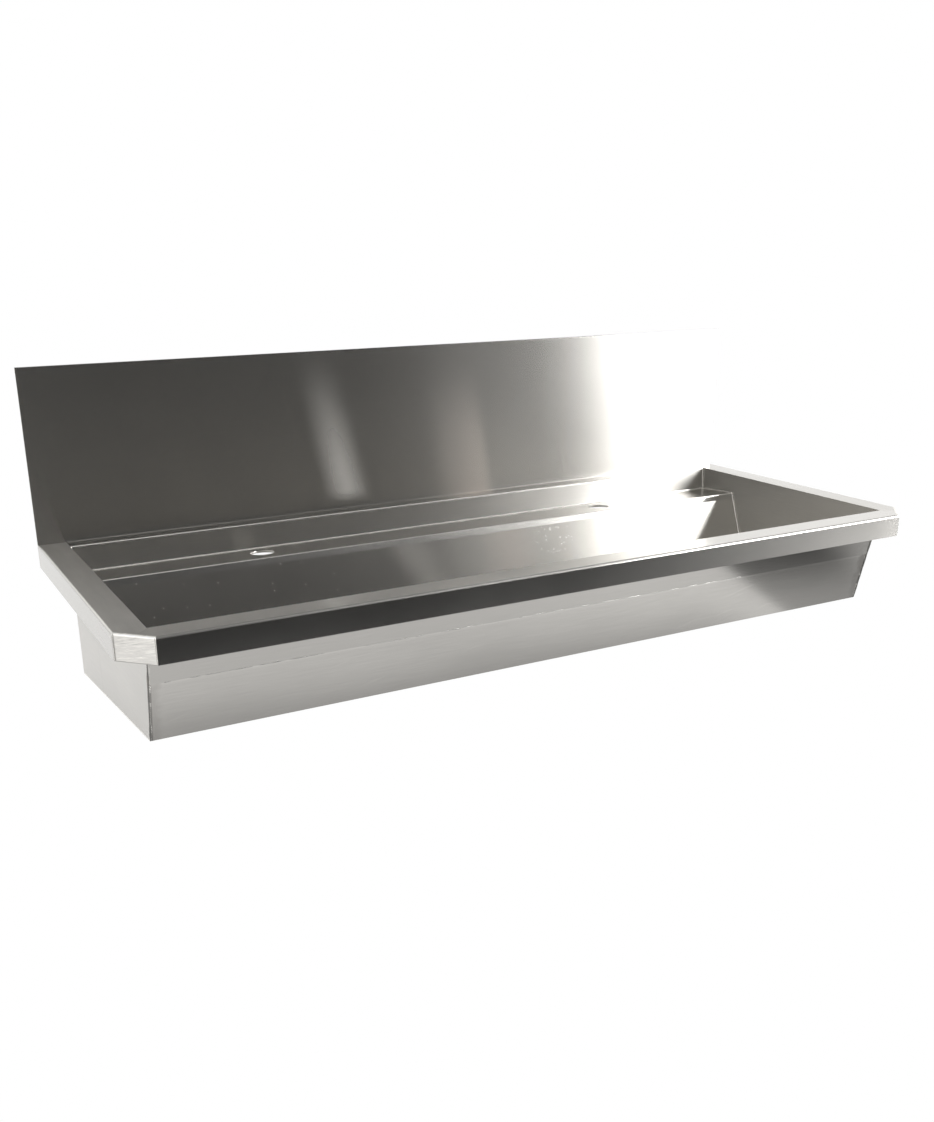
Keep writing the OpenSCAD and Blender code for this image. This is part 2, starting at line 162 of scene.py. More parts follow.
def sheetSteel(name, finish, extra=None):
    material, start = newMaterial(name)
    place = start.add("TexCoord", out=3)
    grain = noise(place, finish["grainStretch"], 1, 0.5)
    cloud = noise(place, finish["cloudStretch"], 3, 0.6)
    wipe = noise(place, finish["wipeStretch"], 2, 0.5, shift=finish["wipeShift"])
    wave = noise(place, finish["waveStretch"], 1, 0.4, shift=finish["waveShift"])
    channels = {
        "stain": None, "metal": 1.0, "height": grain * finish["grainHeight"],
        "tone": 1 + (cloud - 0.5) * finish["cloudTone"] + (grain - 0.5) * finish["grainTone"],
        "rough": finish["rough"] + (cloud - 0.5) * finish["cloudRough"],
        "haze": finish["haze"] * (
            1 + (wipe - 0.5) * finish["wipeHaze"] + (cloud - 0.5) * finish["cloudHaze"]),
    }
    if extra:
        channels = extra(place, channels)
    tone = start.add("CombineColor", {}, {0: channels["tone"], 1: channels["tone"], 2: channels["tone"]})
    colour = tint(start, 1.0, grey(finish["level"], finish["warm"]), tone, "MULTIPLY")
    if channels["stain"]:
        colour = tint(start, channels["stain"][0], colour, channels["stain"][1])
    fine = bump(start, channels["height"], bump(start, wave * finish["waveHeight"]))
    shared = {"Base Color": colour, "Metallic": channels["metal"], "Normal": fine}
    clear = start.add("BsdfPrincipled", {}, dict(shared, Roughness=channels["rough"]))
    if finish["lift"]:      # a leaning panel can't take the brushed draw, so its reflection is lifted
        climb = axes(place)[2] * -math.tan(math.radians(finish["lift"]))
        lifted = dict(shared, Roughness=finish["liftRough"], Normal=bump(start, climb, fine))
        upper = start.add("BsdfPrincipled", {}, lifted)
        clear = start.add("MixShader", {}, {0: finish["liftShare"], 1: clear, 2: upper})
    if finish["brushed"]:      # on upright faces the grain draws reflections out up and down
        drawn = {"Anisotropic": 1.0, "Anisotropic Rotation": finish["brushedTurn"]}
        brushed = start.add("BsdfPrincipled", {}, dict(shared, Roughness=finish["brushed"], **drawn))
        upright = abs(axes(start.add("NewGeometry", out=1))[2]).rise(*finish["uprightSpan"])
        clear = start.add("MixShader", {}, {0: upright, 1: clear, 2: brushed})
    hazy = start.add("BsdfPrincipled", {}, dict(shared, Roughness=finish["hazeRough"]))
    surface = start.add("MixShader", {}, {0: channels["haze"], 1: clear, 2: hazy})
    return closeMaterial(material, start, surface)


def spots(across, up, cell, size, share, shift=0.0, core=0.4):
    # round specks on a flat face: "cell" and "size" in metres, "share" is how many cells hold one, and a
    # speck is full within "core" of its radius
    flat = across.add("CombineXYZ", {}, {0: (across + shift) / cell, 1: (up + shift) / cell})
    away = across.add("TexVoronoi", {"voronoi_dimensions": "2D"}, {"Vector": flat, "Scale": 1})
    pick = axes(Wire(away.tree, away.socket.node.outputs[1]))[0]
    return away.rise(size / cell, core * size / cell) * pick.rise(1 - share, 1.001 - share)


def scratches(place, stretch, rarity, turn, shift=(0, 0, 0), edge=0.03):
    # thin lines along the short axis of stretch, where the noise is above "rarity"
    return noise(place, stretch, 1, 0.4, turn, shift).rise(rarity, rarity + edge)


def brighten(channels, mask, amount):      # raises or lowers the tone under a mask
    channels["tone"] = channels["tone"] * (1 + mask * amount)


def dull(channels, mask):      # a film that hides the metal and catches the light from all round
    channels["metal"] = channels["metal"] - mask


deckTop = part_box("front_rim")[1].z
trough = {      # "splashTop" counts from the deck, "bowlHalf" is half the bowl's length
    "halfLength": 0.6, "depth": 0.47, "splashTop": 0.24, "bowlHalf": 0.562,
}
wipeColour = (0.68, 0.61, 0.55, 1)

splashFinish = dict(sheetFinish, haze=0.03, brushed=0.25, grainTone=0.05, grainHeight=0.0)
splashMarks = {      # a narrow streak of painted reflection and a wide wipe that run down the splashback, with where their middle is at the foot
    "frontSpan": (-0.0025, -0.0030),
    "narrowMiddle": -0.125, "narrowHalf": 0.045, "narrowLean": -0.225, "narrowPaintedStreak": 0.38,
    "narrowFoot": (0.005, 0.03), "narrowTop": (0.26, 0.03),
    "wideLeft": (0.010, 0.105), "wideRight": (0.140, 0.115), "wideTop": (0.23, 0.06), "wideLean": -0.15,
    "wideFilm": 0.20, "wideStain": 0.5,
    "notches": (-0.151, -0.107, -0.072, -0.007, 0.261), "notchHalf": 0.003,
    "hem": 0.0016, "hemFull": 0.0008, "hemTone": -0.5, "leftEdgeHighlight": 0.35,
    "specks": {"cell": 0.02, "size": 0.0009, "share": 0.25}, "speckTone": 0.30,
}


def markSplash(place, channels):
    marks = splashMarks
    x, y, z = axes(place)
    up = z - deckTop
    ahead = y.rise(*marks["frontSpan"])      # the wipes are on the front face only
    # painted reflection: a narrow streak where a film dulls the metal so that it catches the light from all
    # round
    paintedStreak = (x - up * marks["narrowLean"]).ridge(marks["narrowMiddle"], marks["narrowHalf"]) * ahead
    paintedStreak = paintedStreak * up.rise(*marks["narrowFoot"]) * up.rise(*marks["narrowTop"])
    dull(channels, paintedStreak * marks["narrowPaintedStreak"])
    wide = x - up * marks["wideLean"]
    wide = wide.rise(*marks["wideLeft"]) * wide.rise(*marks["wideRight"])
    wide = wide * up.rise(*marks["wideTop"]) * ahead
    dull(channels, wide * marks["wideFilm"])
    channels["stain"] = (wide * marks["wideStain"], wipeColour)
    hem = up.rise(trough["splashTop"] - marks["hem"], trough["splashTop"] - marks["hemFull"])
    notches = sum((x.ridge(middle, marks["notchHalf"]) for middle in marks["notches"]), 0)
    brighten(channels, hem * (1 - notches), marks["hemTone"])
    # painted highlight: a paler strip along the splashback's left edge
    paintedEdgeHighlight = x.rise(marks["hem"] - trough["halfLength"], -trough["halfLength"])
    brighten(channels, paintedEdgeHighlight, marks["leftEdgeHighlight"])
    brighten(channels, spots(x, z, **marks["specks"]), marks["speckTone"])
    return channels


ledgeFinish = dict(sheetFinish, rough=0.17, brushed=0.28)
ledgeMarks = {      # painted highlights along the folds: rear deck to recess, foot of the recess, front of the ledge (metres)
    "folds": [(0.0304, -0.0006), (0.0334, -0.0368), (0.1106, -0.0315)], "foldHalf": 0.0016, "foldCore": 0.3,
    "foldHighlight": 0.30,
}


def markLedge(place, channels):
    marks = ledgeMarks
    x, y, z = axes(place)
    foldShine = 0
    for out, height in marks["folds"]:
        away = place.maths("SQRT", (y + out) * (y + out) + (z - deckTop - height) * (z - deckTop - height))
        foldShine = away.rise(marks["foldHalf"], marks["foldCore"] * marks["foldHalf"]) + foldShine
    # painted highlight: the folds are dulled and brightened so that they read as bright lines
    dull(channels, foldShine * marks["foldHighlight"])
    brighten(channels, foldShine, marks["foldHighlight"])
    return channels


slopeFinish = dict(sheetFinish, warm=0.07, rough=0.115, haze=0.05, lift=19.0)
slopeMarks = {      # the narrow streak of painted reflection and the wide wipe as they show on the sloping back, and a patch of specks
    "narrowMiddle": -0.103, "narrowHalf": 0.050, "narrowLean": -0.5, "narrowPaintedStreak": 0.16,
    "wideMiddle": 0.094, "wideHalf": 0.065, "wideFilm": 0.10, "wideStain": 0.4,
    "few": {"cell": 0.016, "size": 0.0008, "share": 0.16}, "fewShine": 0.4,
    "many": {"cell": 0.0055, "size": 0.0014, "share": 0.3, "shift": 0.31}, "manyShine": 0.75,
    "patchMiddle": 0.178, "patchHalf": 0.06, "patchHeight": -0.062, "patchReach": 0.035, "speckTone": 1.3,
}


def markSlope(place, channels):
    marks = slopeMarks
    x, y, z = axes(place)
    lean = (z - deckTop) * marks["narrowLean"]
    # painted reflection: a narrow dulled streak that leans across the slope
    dull(channels, (x - lean).ridge(marks["narrowMiddle"], marks["narrowHalf"]) * marks["narrowPaintedStreak"])
    wide = x.ridge(marks["wideMiddle"], marks["wideHalf"])
    dull(channels, wide * marks["wideFilm"])
    channels["stain"] = (wide * marks["wideStain"], wipeColour)
    few = spots(x, z, **marks["few"]) * marks["fewShine"]
    patch = x.ridge(marks["patchMiddle"], marks["patchHalf"])
    patch = patch * (z - deckTop).ridge(marks["patchHeight"], marks["patchReach"])
    many = spots(x, z, **marks["many"]) * patch
    dull(channels, few + many * marks["manyShine"])
    brighten(channels, few + many, marks["speckTone"])
    return channels


rimFinish = dict(sheetFinish, rough=0.14, haze=0.0, grainTone=0.12)
rimMarks = {      # spans count from the deck's top, from the front edge or along the trough from its middle
    "topSpan": (-0.002, -0.0005), "faceSpan": (0.004, 0.002), "innerLegTone": -0.08,
    "deckHaze": 0.65, "leftHaze": 0.14, "leftHazeSpan": (-0.1, -0.5),
    "leftPaintedLight": 0.38, "leftSpan": (0.0, -0.35),
    "weldSpan": (0.50, 0.562), "weldHaze": 0.25,
    "bendHeight": (-0.0030, -0.0014), "bendDepth": (0.0036, 0.0018), "bendHaze": 0.6, "bendShade": -0.6,
    "specks": {"cell": 0.012, "size": 0.0009, "share": 0.3}, "speckShine": 0.10,
    "rub": {"stretch": (90, 500, 1), "rarity": 0.52, "turn": (0, 0, 0.35)},
    "smudgeMiddle": -0.349, "smudgeHalf": 0.014, "smudgeShine": 0.3,
}


def markRim(place, channels):      # the flat top is rubbed hazier than the apron
    marks = rimMarks
    x, y, z = axes(place)
    top = z.rise(*fromEdge(deckTop, marks["topSpan"]))
    deck = top * (marks["deckHaze"] + x.rise(*marks["leftHazeSpan"]) * marks["leftHaze"])
    channels["haze"] = channels["haze"] + deck + (1 - top) * x.rise(*marks["weldSpan"]) * marks["weldHaze"]
    face = y.rise(*fromEdge(-trough["depth"], marks["faceSpan"]))
    brighten(channels, 1 - top.either(face), marks["innerLegTone"])
    # painted light: the deck is brighter towards the left
    brighten(channels, top * x.rise(*marks["leftSpan"]), marks["leftPaintedLight"])
    # painted shade: the outer fold is darkened to hold down its highlight
    bend = z.rise(*fromEdge(deckTop, marks["bendHeight"]))
    bend = bend * y.rise(*fromEdge(-trough["depth"], marks["bendDepth"]))
    channels["haze"] = channels["haze"].either(bend * marks["bendHaze"])
    brighten(channels, bend, marks["bendShade"])
    dull(channels, spots(x, z, **marks["specks"]) * face * marks["speckShine"])
    rub = scratches(place, **marks["rub"])
    dull(channels, rub * top * x.ridge(marks["smudgeMiddle"], marks["smudgeHalf"]) * marks["smudgeShine"])
    return channels


sideFinish = dict(sheetFinish, haze=0.70, grainStretch=(1500, 25, 1500), cloudStretch=(9, 5, 9))
sideMarks = {      # "forward" runs from the wall to the front
    "topSpan": (-0.002, -0.0005), "apronTone": -0.08, "apronHaze": 0.3,
    "forwardSpan": (0.05, 0.43), "forwardPaintedLight": 0.36, "leftSpan": (0.1, -0.1),
    "rearHaze": 0.95, "forwardHaze": 0.35,
    "bendHeight": (-0.0030, -0.0014), "bendSpan": (-0.0028, -0.0010), "bendHaze": 0.6, "bendShade": -0.3,
}


def markSide(place, channels):      # painted light makes the deck paler towards the front, and painted shade darkens it along its outer fold
    marks = sideMarks
    x, y, z = axes(place)
    top = z.rise(*fromEdge(deckTop, marks["topSpan"]))
    bend = z.rise(*fromEdge(deckTop, marks["bendHeight"]))
    bend = bend * abs(x).rise(*fromEdge(trough["halfLength"], marks["bendSpan"]))
    brighten(channels, 1 - top, marks["apronTone"])
    forward = (0 - y).rise(*marks["forwardSpan"])
    brighten(channels, forward * top * x.rise(*marks["leftSpan"]), marks["forwardPaintedLight"])
    haze = channels["haze"] * (marks["rearHaze"] + marks["forwardHaze"] * forward)
    haze = haze * (marks["apronHaze"] + (1 - marks["apronHaze"]) * top)
    channels["haze"] = haze.either(bend * marks["bendHaze"])
    brighten(channels, bend, marks["bendShade"])
    return channels


wallFinish = dict(sheetFinish, grainTone=0.14, cloudTone=0.2, cloudStretch=(4, 6, 14))
wallMarks = {      # scallops of heat from the corner welds, more at the upper right, and the dressed seam
    "scallopStretch": (30, 0, 55), "scallop": 0.022, "burnSpan": (0.546, 0.557),
    "burnColour": (0.36, 0.34, 0.32, 1), "burnShare": 0.30, "burnRight": 0.35,
    "upperSpan": (-0.112, -0.095), "rightSpan": (0, 0.1), "rootSpan": (0.5595, 0.5605), "rootTone": -0.5,
    "seamHeight": -0.072, "seamHalf": 0.005, "seamTone": 0.10,
    "scratch": {"stretch": (8, 120, 260), "rarity": 0.72, "turn": (0.0, 0.25, 0.0),
                "shift": (0.2, 0.0, 0.3)},
    "scratchTone": 0.06,
}


def markWall(place, channels):
    marks = wallMarks
    x, y, z = axes(place)
    scallop = noise(place, marks["scallopStretch"], 2, 0.6) * marks["scallop"]
    burn = (abs(x) + scallop - marks["scallop"] / 2).rise(*marks["burnSpan"])
    upper = (z - deckTop).rise(*marks["upperSpan"]) * x.rise(*marks["rightSpan"])
    channels["stain"] = (burn * (marks["burnShare"] + upper * marks["burnRight"]), marks["burnColour"])
    brighten(channels, (z - deckTop).ridge(marks["seamHeight"], marks["seamHalf"]), marks["seamTone"])
    brighten(channels, scratches(place, **marks["scratch"]), marks["scratchTone"])
    brighten(channels, abs(x).rise(*marks["rootSpan"]), marks["rootTone"])
    return channels


endFinish = dict(sheetFinish, rough=0.30, haze=0.35, hazeRough=0.55, grainTone=0.14,
                 grainStretch=(1500, 25, 1500), cloudStretch=(9, 12, 12), cloudTone=0.12)
endMarks = {
    "outsideSpan": (0.001, 0.0012), "lineY": -0.157, "lineHalf": 0.004, "lineTone": -0.05,
    "rearSpan": (-0.26, -0.19), "rearHeight": (-0.12, -0.06), "rearPaintedShadow": -0.15,
    "lowSpan": (-0.15, -0.38), "lowHeight": (-0.08, -0.13), "lowPaintedLight": 0.07,
    "specks": {"cell": 0.015, "size": 0.001, "share": 0.2}, "speckTone": 0.15,
}


def markEnd(place, channels):      # outside, a painted shadow of the rim darkens the upper rear corner and painted light brightens the lower front
    marks = endMarks
    x, y, z = axes(place)
    up = z - deckTop
    outside = abs(x).rise(*fromEdge(trough["bowlHalf"], marks["outsideSpan"]))
    brighten(channels, outside * y.ridge(marks["lineY"], marks["lineHalf"]), marks["lineTone"])
    rear = outside * y.rise(*marks["rearSpan"]) * up.rise(*marks["rearHeight"])
    brighten(channels, rear, marks["rearPaintedShadow"])
    low = outside * y.rise(*marks["lowSpan"]) * up.rise(*marks["lowHeight"])
    brighten(channels, low, marks["lowPaintedLight"])
    brighten(channels, spots(y, z, **marks["specks"]), marks["speckTone"])
    return channels


cornerFinish = dict(endFinish, level=0.70, haze=0.1, grainTone=0.06)
cornerMarks = {      # the grain of the disc runs along the plate, a few degrees up and down
    "turn": (0, 0, math.radians(45)), "tilt": math.radians(9), "stretch": (60, 60, 900),
    "secondShift": (0.4, 0.4, 0.1), "firstCut": (0.52, 0.70), "secondCut": (0.55, 0.74), "cutTone": 0.22,
    "cutRough": 0.1, "cutHeight": 8e-6, "grooveSpan": (0.42, 0.30), "grooveTone": -0.2,
    "topSpan": (-0.002, -0.0005), "deckHaze": 0.4, "edgeBelow": 0.0012, "edgeHalf": 0.002, "edgeHighlight": 0.5,
    "rootSpan": (-0.0308, -0.03152), "farSpan": (-0.0026, -0.0014), "leftSpan": (0, 0.1), "jointTone": -0.5,
    "smudgeMiddle": 0.567, "smudgeHalf": 0.007, "smudgeTone": -0.16,
}


def markCorner(place, channels):
    marks = cornerMarks
    x, y, z = axes(place)
    spun = place.add("Mapping", {}, {"Vector": place, "Rotation": marks["turn"]})
    tilt = marks["tilt"]
    first = noise(spun, marks["stretch"], 2, 0.6, (0, tilt, 0))
    second = noise(spun, marks["stretch"], 2, 0.6, (tilt, -tilt, 0), marks["secondShift"])
    cuts = first.rise(*marks["firstCut"]) + second.rise(*marks["secondCut"])
    brighten(channels, cuts, marks["cutTone"])
    brighten(channels, first.rise(*marks["grooveSpan"]), marks["grooveTone"])
    channels["rough"] = channels["rough"] + cuts * marks["cutRough"]
    channels["height"] = channels["height"] + cuts * marks["cutHeight"]
    channels["haze"] = channels["haze"] + z.rise(*fromEdge(deckTop, marks["topSpan"])) * marks["deckHaze"]
    # painted highlight: a bright band along the plate's top edge
    brighten(channels, z.ridge(deckTop - marks["edgeBelow"], marks["edgeHalf"]), marks["edgeHighlight"])
    low = (z - deckTop).rise(*marks["rootSpan"])      # dark joints at the left plate's foot and far edge
    far = (0 - x).rise(*fromEdge(trough["halfLength"], marks["farSpan"]))
    brighten(channels, low.either(far) * (1 - x.rise(*marks["leftSpan"])), marks["jointTone"])
    brighten(channels, x.ridge(marks["smudgeMiddle"], marks["smudgeHalf"]), marks["smudgeTone"])
    return channels


plainFinish = dict(sheetFinish, level=0.5, rough=0.34, haze=0.2)
brassFinish = dict(plainFinish, level=0.6, rough=0.24, haze=0.15, cloudTone=0.2)
brassStain = (0.9, (0.72, 0.50, 0.22, 1))
weldFinish = dict(plainFinish, level=0.88, rough=0.25, haze=0.3, grainTone=0.0, cloudTone=0.5,
                  cloudStretch=(60, 60, 60))
weldMarks = {
    "heatStretch": (25, 25, 25), "heatShift": (1.3, 0.2, 0.7), "heatSpan": (0.6, 0.8), "heatShare": 0.35,
    "heatColour": (0.42, 0.36, 0.28, 1),
}


def markBrass(place, channels):
    return dict(channels, stain=brassStain)


def markWeld(place, channels):      # straw and blue where the bead cooled
    marks = weldMarks
    heat = noise(place, marks["heatStretch"], 2, 0.5, shift=marks["heatShift"])
    channels["stain"] = (heat.rise(*marks["heatSpan"]) * marks["heatShare"], marks["heatColour"])
    return channels


satinSheet = sheetSteel("satin_sheet", sheetFinish)
satinSplash = sheetSteel("satin_splash", splashFinish, markSplash)
satinLedge = sheetSteel("satin_ledge", ledgeFinish, markLedge)
satinSlope = sheetSteel("satin_slope", slopeFinish, markSlope)
satinWall = sheetSteel("satin_wall", wallFinish, markWall)
satinRim = sheetSteel("satin_rim", rimFinish, markRim)
satinSide = sheetSteel("satin_side", sideFinish, markSide)
satinEnd = sheetSteel("satin_end", endFinish, markEnd)
linishedCorner = sheetSteel("linished_corner", cornerFinish, markCorner)
plainSteel = sheetSteel("plain_steel", plainFinish)
bracketSteel = sheetSteel("bracket_steel", dict(plainFinish, level=0.46))
fastenerSteel = sheetSteel("fastener_steel", dict(plainFinish, level=0.62, rough=0.22, haze=0.1))
polishedSteel = sheetSteel("polished_steel", dict(plainFinish, level=0.7, rough=0.1, haze=0.05))
brass = sheetSteel("brass", brassFinish, markBrass)
weldSteel = sheetSteel("weld_steel", weldFinish, markWeld)
weldDark = sheetSteel("weld_dark", dict(weldFinish, level=0.22, cloudTone=0.9), markWeld)


# Rubber and damping sheet: nearly black, with a fine cast grain and pale dust in the hollows.
rubberFinish = {
    "level": 0.03, "warm": 0.04, "rough": 0.55, "grain": 1200, "grainHeight": 4e-5, "grainRough": 0.15,
    "dust": 90, "dustShift": (0.3, 0.9, 0.1), "dustSpan": (0.5, 0.8), "dustShare": 0.25,
    "dustLevel": 0.2, "dustWarm": 0.06,
}
padFinish = dict(rubberFinish, level=0.022, rough=0.7, grain=350, grainHeight=2.5e-4, dust=30,
                 dustShare=0.35)


def softBlack(name, finish):
    material, start = newMaterial(name)
    place = start.add("TexCoord", out=3)
    grain = noise(place, (finish["grain"],) * 3, 3, 0.6)
    dust = noise(place, (finish["dust"],) * 3, 3, 0.6, shift=finish["dustShift"]).rise(*finish["dustSpan"])
    colour = tint(start, dust * finish["dustShare"], grey(finish["level"], finish["warm"]),
                  grey(finish["dustLevel"], finish["dustWarm"]))
    return closeMaterial(material, start, start.add("BsdfPrincipled", {}, {
        "Base Color": colour, "Roughness": finish["rough"] + grain * finish["grainRough"],
        "Normal": bump(start, grain * finish["grainHeight"])}))


blackRubber = softBlack("black_rubber", rubberFinish)
bitumenPad = softBlack("bitumen_pad", padFinish)

dressing = {
    satinSplash: "splashback", satinLedge: "tap_ledge", satinSlope: "sloping_back", satinSheet: "bowl_floor",
    satinWall: "front_wall", satinRim: "front_rim", satinSide: "left_rim right_rim",
    linishedCorner: "left_corner_plate right_corner_plate", satinEnd: "left_end right_end",
    plainSteel: "left_tap_plate right_tap_plate rear_rail", bracketSteel: "left_bracket right_bracket",
    fastenerSteel: "ledge_studs ledge_washers ledge_nuts buffer_studs buffer_nuts",
    polishedSteel: "waste_strainer waste_screw", blackRubber: "wall_buffers upper_seal lower_seal",
    brass: "waste_body earth_bolt earth_washers earth_nut", bitumenPad: "left_damping_pad right_damping_pad",
}
for material, nodes in dressing.items():
    for node in nodes.split():
        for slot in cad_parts[node].material_slots:
            slot.material = material
print("finishes laid on:", len(dressing))


def gridPiece(name, grids, material, smooth=True):
    # each grid is (points[i, j], ring): columns close round, rows close too if ring is true, else are capped
    points, faces = [], []
    for grid, ring in grids:
        rows, columns = grid.shape[:2]
        flat = grid.reshape(-1, 3)
        i = np.arange(rows if ring else rows - 1)[:, None]
        j = np.arange(columns)[None, :]
        here, below = i * columns, (i + 1) % rows * columns
        after = (j + 1) % columns
        quads = np.stack([here + j, here + after, below + after, below + j], -1).reshape(-1, 4)
        corners = flat[quads] - flat.mean(0)
        turns = np.cross(corners[:, 1], corners[:, 2]) + np.cross(corners[:, 2], corners[:, 3])
        volume = np.einsum("ij,ij->", corners[:, 0], turns)      # its sign tells which way the faces look
        quads = quads.tolist()
        if not ring:
            quads += [list(range(columns))[::-1], [(rows - 1) * columns + k for k in range(columns)]]
        before = len(points)
        faces += [[before + k for k in (quad[::-1] if volume < 0 else quad)] for quad in quads]
        points += flat.tolist()
    mesh = bpy.data.meshes.new(name)
    mesh.from_pydata(points, [], faces)
    mesh.polygons.foreach_set("use_smooth", np.full(len(faces), smooth))
    mesh.materials.append(material)
    mesh.update()
    piece = bpy.data.objects.new(name, mesh)
    bpy.context.scene.collection.objects.link(piece)
    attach(piece, "root")
    return piece


# Turned shape: the profile gives radius and height row by row, and each row goes once round the axis.
# "shape" changes the radius with height and angle, as a thread or a hexagon does.
def turned(profile, place, shape=None, ring=False, around=48):
    origin, axis, across = (np.array(part, dtype=float) for part in place)
    radius, height = (part[:, None] for part in np.array(profile, dtype=float).T)
    angle = np.linspace(0, 2 * np.pi, around, endpoint=False)[None, :]
    reach = (shape(radius, height, angle) if shape else radius + 0 * angle)[..., None]
    spoke = np.cos(angle)[..., None] * across + np.sin(angle)[..., None] * np.cross(axis, across)
    return origin + height[..., None] * axis + reach * spoke, ring


# Thread: the radius falls by depth times a saw edge of height / pitch - angle / full turn, from low to high,
# and runs out over half a pitch at both ends.
def thread(pitch, depth, low, high):
    def shape(radius, height, angle):
        groove = np.abs(((height / pitch - angle / (2 * np.pi)) % 1) * 2 - 1)
        inside = np.clip(np.minimum(height - low, high - height) / (0.5 * pitch), 0, 1)
        return radius - depth * groove * inside
    return shape


# Weld bead: a small circle carried along a path. Its radius at distance d is the bead's radius times
# 1 + ripple * sin(2 pi d / pitch) + a slow random swell, and falls to nothing at both ends. A dressed bead
# has less ripple, down to none at 1.
bead = {
    "step": 0.0006, "fewestSteps": 8, "around": 10, "pitch": 0.0021, "ripple": 0.14, "swell": 0.30,
    "swellEvery": 0.009, "fewestSwells": 2, "tip": 0.02,
}
seams = {      # paths give distance out from the wall and height above the deck, as the source has them
    "bowl": {"path": [(0.0306, -0.0012), (0.0334, -0.037), (0.1104, -0.0315), (0.1140, -0.0408),
                      (0.1640, -0.171), (0.4003, -0.1455), (0.4317, -0.0012)],
             "lift": 0.0008, "radius": 0.0014, "dressed": 0.0, "seed": 11},
    "corner": {"path": [(0.4330, -0.003), (0.40154, -0.147)], "radius": 0.0010, "dressed": 0.5, "seed": 21},
    "belly": {"path": [(0.4010, -0.1468), (0.0295, -0.1868)], "radius": 0.0006, "dressed": 0.5, "seed": 31},
    "cut": {"edges": [(0.5991, 0.4329), (0.5629, 0.4691)], "heights": (-0.0315, -0.001),
            "radius": 0.0006, "dressed": 0.6, "seed": 41, "seedStep": 5},
    "wall": {"at": (0.41779, -0.0723), "ends": (-0.545, 0.306), "sink": 0.00053,
             "radius": 0.0006, "dressed": 1.0, "seed": 51},
    "outside": 0.0012,
}


def weld(name, path, seam, seed, side=(1, 0, 0), material=weldSteel):
    radius = seam["radius"]
    path = np.array(path, dtype=float)
    spans = np.linalg.norm(np.diff(path, axis=0), axis=1)
    reach = np.concatenate([[0], np.cumsum(spans)])
    d = np.linspace(0, reach[-1], max(int(reach[-1] / bead["step"]), bead["fewestSteps"]))
    middle = np.stack([np.interp(d, reach, path[:, k]) for k in range(3)], -1)
    along = np.gradient(middle, axis=0)
    along /= np.linalg.norm(along, axis=1, keepdims=True)
    side = np.array(side, dtype=float)
    up = np.cross(along, side)
    up /= np.linalg.norm(up, axis=1, keepdims=True)
    knotCount = max(int(reach[-1] / bead["swellEvery"]), bead["fewestSwells"]) + 2
    knots = np.random.default_rng(seed).uniform(-1, 1, knotCount)
    swell = np.interp(d, np.linspace(0, reach[-1], knotCount), knots)
    ripple = (1 - seam["dressed"]) * bead["ripple"] * np.sin(2 * np.pi * d / bead["pitch"])
    size = radius * (1 + ripple + bead["swell"] * swell)
    size = size * np.sqrt(np.clip(np.minimum(d, reach[-1] - d) / radius, bead["tip"], 1))
    angle = np.linspace(0, 2 * np.pi, bead["around"], endpoint=False)
    ring = np.cos(angle)[None, :, None] * side[None, None, :] + np.sin(angle)[None, :, None] * up[:, None, :]
    grid = middle[:, None, :] + ring * size[:, None, None]
    return gridPiece(name, [(grid, False)], material)


def placed(x, path):      # out-from-wall and height pairs as points in the frame
    return [(x, -out, deckTop + height) for out, height in path]


def buildWelds():
    bowl, corner, belly, cut, wall = (seams[kind] for kind in ("bowl", "corner", "belly", "cut", "wall"))
    for side, name in ((-1, "left"), (1, "right")):
        inner = side * (trough["bowlHalf"] - bowl["lift"])
        outer = side * (trough["bowlHalf"] + seams["outside"])
        weld("bowl_weld_" + name, placed(inner, bowl["path"]), bowl, bowl["seed"] + side)
        weld("corner_weld_" + name, placed(outer, corner["path"]), corner, corner["seed"] + side,
             material=weldDark)
        weld("belly_weld_" + name, placed(outer, belly["path"]), belly, belly["seed"] + side)
        for index, (along, out) in enumerate(cut["edges"]):
            path = placed(side * along, [(out, height) for height in cut["heights"]])
            weld("cut_weld_%s_%d" % (name, index), path, cut, cut["seed"] + side + cut["seedStep"] * index)
    out, height = wall["at"]
    path = [(x, wall["sink"] - out, deckTop + height) for x in wall["ends"]]
    weld("wall_seam", path, wall, wall["seed"], (0, 1, 0), plainSteel)


buildWelds()
print("welds laid")


# Hardware under the ledge, on the rear rail and at the waste, in the source's own places and sizes (metres).
hardware = {
    "sheet": 0.0015, "ledgeMiddle": (0.0719, 0.06575), "ledgeAngle": math.atan2(5.5, 77),
    "bracketPitch": 0.9, "studPitch": 0.03, "studLength": 0.0126, "studRadius": 0.003, "studChamfer": 0.0007,
    "studAround": 24, "threadPitch": 0.001, "threadDepth": 0.00055, "threadRows": 7,
    "nutBase": 0.0096, "nutHeight": 0.005, "nutFlats": 0.010, "nutFace": 0.00475, "nutSlope": 1.732,
    "nutRows": [0, 0.00015, 0.0003, 0.00045, 0.0006], "nutAround": 72, "boreRadius": 0.00305,
    "flatsBeyond": 0.004,
    "bufferPitch": 0.5, "bufferAt": (-0.0289, -0.0695), "bufferRadius": 0.011, "bufferBite": 0.010,
    "bufferStud": 0.0095,
    "earthAt": (0.080, -0.0414), "earthHead": (-0.0554, 0.004), "earthNut": -0.0651, "earthEnd": -0.0681,
    "earthOverlap": 0.001,
}
rubberFoot = {      # how far each row's radius is past the foot's own, and its height from wall or rail
    "face": [(-0.0016, 0), (-0.0009, 0.0002), (-0.0003, 0.0007), (0, 0.0016)],
    "side": [(0, -0.0215), (-0.0004, -0.021), (-0.0009, -0.0205), (-0.0009, -0.006), (-0.0004, -0.0055),
             (0, -0.005), (0, -0.0012), (-0.0004, -0.0004), (-0.0012, 0)],
}


